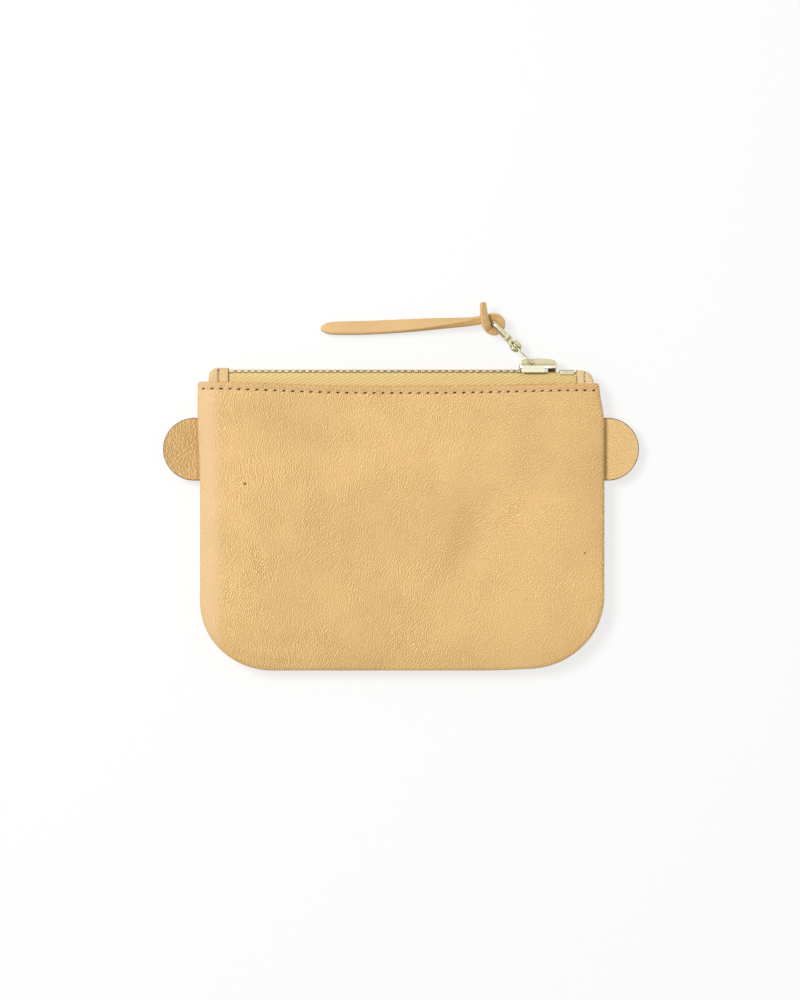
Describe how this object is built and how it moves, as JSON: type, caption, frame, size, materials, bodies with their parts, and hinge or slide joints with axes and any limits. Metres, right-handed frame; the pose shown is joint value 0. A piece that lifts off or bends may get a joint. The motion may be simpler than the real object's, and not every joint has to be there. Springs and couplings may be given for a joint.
{
  "type": "zippered leather pouch",
  "caption": "Flat rectangular pouch of natural leather with rounded lower corners, side tabs, a metal zip along the mouth and a leather pull strap on a swivel shackle.",
  "frame": {"origin": "middle of the back panel's flat outer face, which the pouch lies on", "axes": "+X along the mouth to the slider's closed end, +Y from the bottom seam to the mouth, +Z from the back panel to the front panel"},
  "size_m": [0.1594, 0.123, 0.01],
  "materials": {
    "leather": "natural vegetable-tanned grain, satin",
    "leather_ear": "natural leather, coarser grain",
    "leather_strap": "natural leather with raw cut edges",
    "tape": "woven herringbone",
    "brass": "polished teeth and stops",
    "pale_gold": "pale gold plating",
    "thread": "twisted thread"
  },
  "bodies": {
    "pouch": {"back_panel": "leather", "left_ear": "leather_ear", "right_ear": "leather_ear", "left_end_tab": "leather", "right_end_tab": "leather", "back_tape": "tape", "back_teeth": "brass", "top_stops": "brass", "bottom_stop": "brass", "back_top_thread": "thread", "left_tab_thread": "thread", "right_tab_thread": "thread", "seam_thread": "thread"},
    "mouth_front": {"front_panel": "leather", "front_tape": "tape", "front_teeth": "brass", "front_top_thread": "thread"},
    "slider": {"slider_body": "pale_gold"},
    "link": {"pull_link": "pale_gold"},
    "shackle": {"pull_shackle": "pale_gold", "shackle_pin": "pale_gold"},
    "strap": {"pull_strap": "leather_strap"}
  },
  "joints": [
    {"name": "slider_slide", "type": "slide", "parent": "pouch", "child": "slider", "axis": [-1, 0, 0], "range_m": [0, 0.096], "deforming": ["back_teeth", "front_teeth"]},
    {"name": "mouth_open", "type": "hinge", "parent": "pouch", "child": "mouth_front", "pos_m": [0, -0.048, 0.005], "axis": [1, 0, 0], "range_deg": [0, 10], "deforming": ["front_tape"]},
    {"name": "link_swing", "type": "hinge", "parent": "slider", "child": "link", "pos_m": [0.0437, 0.055, 0.005], "axis": [0, 0, 1], "range_deg": [-95, 4]},
    {"name": "shackle_tilt", "type": "hinge", "parent": "link", "child": "shackle", "pos_m": [0.03837, 0.06042, 0.005], "axis": [0.7133, 0.7009, 0], "range_deg": [-90, 90]},
    {"name": "strap_swing", "type": "hinge", "parent": "shackle", "child": "strap", "pos_m": [0.0308, 0.06812, 0.005], "axis": [0, 0, 1], "range_deg": [-70, 4]}
  ],
  "couplings": [
    {"joint": "mouth_open", "follows": "slider_slide", "rad_per_m": 1.8162}
  ]
}
